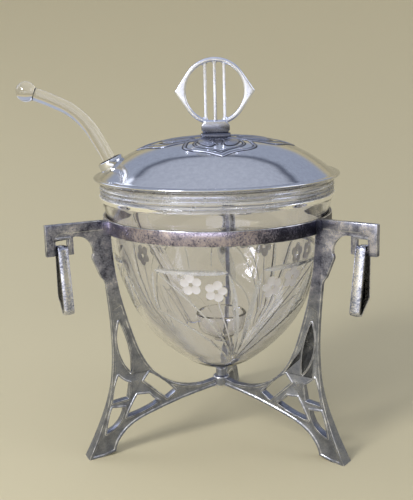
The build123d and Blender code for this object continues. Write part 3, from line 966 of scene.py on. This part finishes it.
class BOWL_OT_stage(Operator):
    """Lay out the floor with its raised back, the soft lights and the camera"""

    bl_idname = "glass_bowl.stage"
    bl_label = "Stage"

    def execute(self, context):
        settings = context.scene.stage_settings
        scene = context.scene
        scene.view_settings.view_transform = "Standard"
        self.add_floor(settings)
        self.add_world(scene, settings)
        for name, place, size, power, colour in (
            ("window softbox", (-0.62, -0.75, 0.72), (0.3, 0.5), settings.key_power, "#fbfcff"),
            ("low front softbox", (-0.12, -0.85, 0.17), (0.9, 0.3), settings.key_power * 0.14, "#e3e9ff"),
            ("left softbox", (-0.8, 0.3, 0.62), (0.5, 0.5), settings.key_power * 0.16, "#eef2ff"),
            ("right softbox", (0.85, -0.2, 0.5), (0.5, 0.5), settings.key_power * 0.16, "#eef2ff"),
        ):
            self.add_softbox(name, place, size, power, colour)
        self.add_camera(scene, settings)
        return {"FINISHED"}

    def add_floor(self, settings):
        """Round of pale paper, flat under the object and rising ever steeper towards its edge."""
        flat, wide, rise = settings.paper_flat, settings.paper_radius, settings.paper_height
        steps = 16
        stops = [(number / steps, (number / steps) ** 2) for number in range(steps + 1)]
        line = drawn_line(
            "paper_round", [(0, 0, 0)] + [(flat + (wide - flat) * out, 0, rise * up) for out, up in stops],
            (0, 1), fineness=4,
        )
        floor = turned(line, 128)
        paper = bpy.data.materials.new("paper matt")
        paper.use_nodes = True
        shader = paper.node_tree.nodes["Principled BSDF"]
        shader.inputs["Base Color"].default_value = (*settings.floor_colour, 1.0)
        shader.inputs["Roughness"].default_value = 0.7
        floor.data.materials.append(paper)

    def add_world(self, scene, settings):
        """Soft room light: paper-coloured at the horizon, cool above, with the dark edge of the ceiling."""
        world = bpy.data.worlds.new("soft room")
        scene.world = world
        world.use_nodes = True
        tree = world.node_tree
        background = tree.nodes["Background"]
        direction = add_node(tree, "ShaderNodeTexCoord").outputs["Generated"]
        rise = add_node(tree, "ShaderNodeSeparateXYZ", {"Vector": direction}).outputs["Z"]
        # The ceiling's dark edge is a ring about a line that leans towards the camera.
        ring_axis = (-0.078, -0.261, 0.962)
        across = add_node(
            tree, "ShaderNodeVectorMath", {0: direction, 1: ring_axis}, operation="DOT_PRODUCT",
        ).outputs["Value"]
        room = add_ramp(tree, across, [
            (0.2, "#a7afc1"), (0.51, "#b0b8c9"), (0.535, "#414658"), (0.56, "#4a4f61"), (0.6, "#bfc5d3"),
            (1.0, "#cdd2df"),
        ])
        above = add_range(tree, rise, 0.3, 0.4, kind="SMOOTHSTEP")
        fill(tree, background, {
            "Color": mix_colours(tree, above, linear("#c6bb9a"), room), "Strength": settings.room_strength,
        })

    def add_softbox(self, name, place, size, power, colour):
        """Soft lamp that faces the middle of the bowl and isn't itself in any view."""
        bpy.ops.object.light_add(type="AREA", location=place)
        lamp = bpy.context.object
        lamp.name = name
        lamp.data.shape = "RECTANGLE"
        lamp.data.size, lamp.data.size_y = size
        lamp.data.energy = power
        lamp.data.color = linear(colour)[:3]
        lamp.visible_camera = False
        middle = Vector((0, 0, 0.11))
        aim = middle - Vector(place)
        lamp.rotation_euler = aim.to_track_quat("-Z", "Y").to_euler()

    def add_camera(self, scene, settings):
        """Camera at the photograph's place, by its height angle, tilt and distance."""
        bpy.ops.object.camera_add()
        camera = bpy.context.object
        turn = Matrix.Rotation(math.radians(LID_TURN), 4, "Z")
        target = Matrix.Translation((0, 0, settings.target_height))
        pitch = Matrix.Rotation(math.pi / 2 - settings.camera_elevation, 4, "X")
        roll = Matrix.Rotation(settings.camera_roll, 4, "Z")
        back = Matrix.Translation((0, 0, settings.camera_distance))
        camera.matrix_world = turn @ target @ pitch @ back @ roll
        lens = camera.data
        lens.sensor_fit = "VERTICAL"
        lens.sensor_height = 24.0
        lens.lens = settings.focal_pixels / settings.picture_height * lens.sensor_height
        lens.shift_x = (settings.picture_width / 2 - settings.centre_x) / settings.picture_height
        lens.shift_y = (settings.centre_y - settings.picture_height / 2) / settings.picture_height
        lens.clip_start = 0.01
        scene.camera = camera


# Settings, panel and registration


class BowlCutting(PropertyGroup):
    """Widths of the bowl's cuts, and how far its petals reach"""

    top_cut: FloatProperty(
        name="Top cut", description="Width of the level cut over each panel", default=3.2 * MM, unit="LENGTH",
    )
    leaf_cut: FloatProperty(
        name="Leaf cut", description="Greatest width of the leaf-shaped cut beside each panel",
        default=3.4 * MM, unit="LENGTH",
    )
    facet_cut: FloatProperty(
        name="Facet cut", description="Greatest width of the broad, shallow facet outside each panel",
        default=11 * MM, unit="LENGTH",
    )
    narrow_cut: FloatProperty(
        name="Narrow cut", description="Width of the long slanting cuts", default=1.2 * MM, unit="LENGTH",
    )
    stem_cut: FloatProperty(
        name="Stem cut", description="Width of the flowers' stems", default=0.7 * MM, unit="LENGTH",
    )
    petal_reach: FloatProperty(
        name="Petal reach", description="Distance from a flower's middle to the middle of a petal",
        default=4.0 * MM, unit="LENGTH",
    )


class PlateFinish(PropertyGroup):
    """Sizes of the marks on the silver plate"""

    patch_size: FloatProperty(
        name="Patch size", description="Size of the dark patches of tarnish", default=9 * MM, unit="LENGTH",
    )
    pit_size: FloatProperty(
        name="Pit size", description="Size of the pits in the plate", default=0.9 * MM, unit="LENGTH",
    )
    bloom_size: FloatProperty(
        name="Bloom size", description="Size of the faint clouds on polished plate", default=2.5 * MM,
        unit="LENGTH",
    )
    hairline_size: FloatProperty(
        name="Hairline size", description="Spacing of the wiping marks", default=1.5 * MM, unit="LENGTH",
    )


class StageSettings(PropertyGroup):
    """Paper, light and camera"""

    floor_colour: FloatVectorProperty(
        name="Paper", description="Colour of the floor and its raised back", subtype="COLOR", size=3,
        default=linear("#c9be9c")[:3],
    )
    paper_radius: FloatProperty(
        name="Paper radius", description="From the bowl's axis to the raised edge of the paper", default=1.35,
        unit="LENGTH",
    )
    paper_flat: FloatProperty(
        name="Paper flat", description="Radius of the flat middle of the paper", default=0.3, unit="LENGTH",
    )
    paper_height: FloatProperty(
        name="Paper height", description="Height of the paper's raised edge", default=0.5, unit="LENGTH",
    )
    room_strength: FloatProperty(
        name="Room light", description="Strength of the room's own light", default=1.0,
    )
    key_power: FloatProperty(
        name="Key power", description="Power of the main lamp", default=9.0, unit="POWER",
    )
    camera_distance: FloatProperty(
        name="Camera distance", description="From the camera to its target", default=0.5, unit="LENGTH",
    )
    camera_elevation: FloatProperty(
        name="Camera elevation", description="Angle above the table", default=math.radians(12.28),
        subtype="ANGLE",
    )
    camera_roll: FloatProperty(
        name="Camera roll", description="Tilt of the camera", default=math.radians(-1.294), subtype="ANGLE",
    )
    target_height: FloatProperty(
        name="Target height", description="Height that the camera looks at", default=0.11266, unit="LENGTH",
    )
    focal_pixels: FloatProperty(
        name="Focal length", description="In pixels of the photograph", default=857.4,
    )
    picture_width: IntProperty(name="Picture width", description="Width of the photograph", default=413)
    picture_height: IntProperty(name="Picture height", description="Height of the photograph", default=500)
    centre_x: FloatProperty(name="Centre across", description="Pixel column of the lens axis", default=218.34)
    centre_y: FloatProperty(name="Centre down", description="Pixel row of the lens axis", default=249.12)


class BOWL_PT_panel(Panel):
    """Buttons and sizes of the covered glass bowl"""

    bl_idname = "BOWL_PT_panel"
    bl_label = "Glass Bowl"
    bl_space_type = "VIEW_3D"
    bl_region_type = "UI"
    bl_category = "Glass Bowl"

    def draw(self, context):
        for step in STEPS:
            self.layout.operator(step.bl_idname)
        for group in (context.scene.bowl_cutting, context.scene.plate_finish, context.scene.stage_settings):
            box = self.layout.box()
            for name in group.__annotations__:
                box.prop(group, name)


STEPS = (
    BOWL_OT_stage, BOWL_OT_stand, BOWL_OT_loops, BOWL_OT_bowl, BOWL_OT_lid, BOWL_OT_finial, BOWL_OT_ladle,
)
GROUPS = {"bowl_cutting": BowlCutting, "plate_finish": PlateFinish, "stage_settings": StageSettings}


def register():
    """Adds the settings, the operators and the panel."""
    for name, group in GROUPS.items():
        bpy.utils.register_class(group)
        setattr(bpy.types.Scene, name, PointerProperty(type=group))
    for step in STEPS:
        bpy.utils.register_class(step)
    bpy.utils.register_class(BOWL_PT_panel)


def unregister():
    """Takes the panel, the operators and the settings away again."""
    bpy.utils.unregister_class(BOWL_PT_panel)
    for step in STEPS:
        bpy.utils.unregister_class(step)
    for name, group in GROUPS.items():
        delattr(bpy.types.Scene, name)
        bpy.utils.unregister_class(group)


def main():
    """Registers the add-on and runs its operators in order."""
    register()
    bpy.ops.glass_bowl.stage()
    bpy.ops.glass_bowl.stand()
    bpy.ops.glass_bowl.loops()
    bpy.ops.glass_bowl.bowl()
    bpy.ops.glass_bowl.lid()
    bpy.ops.glass_bowl.finial()
    bpy.ops.glass_bowl.ladle()


if __name__ == "__main__":
    main()
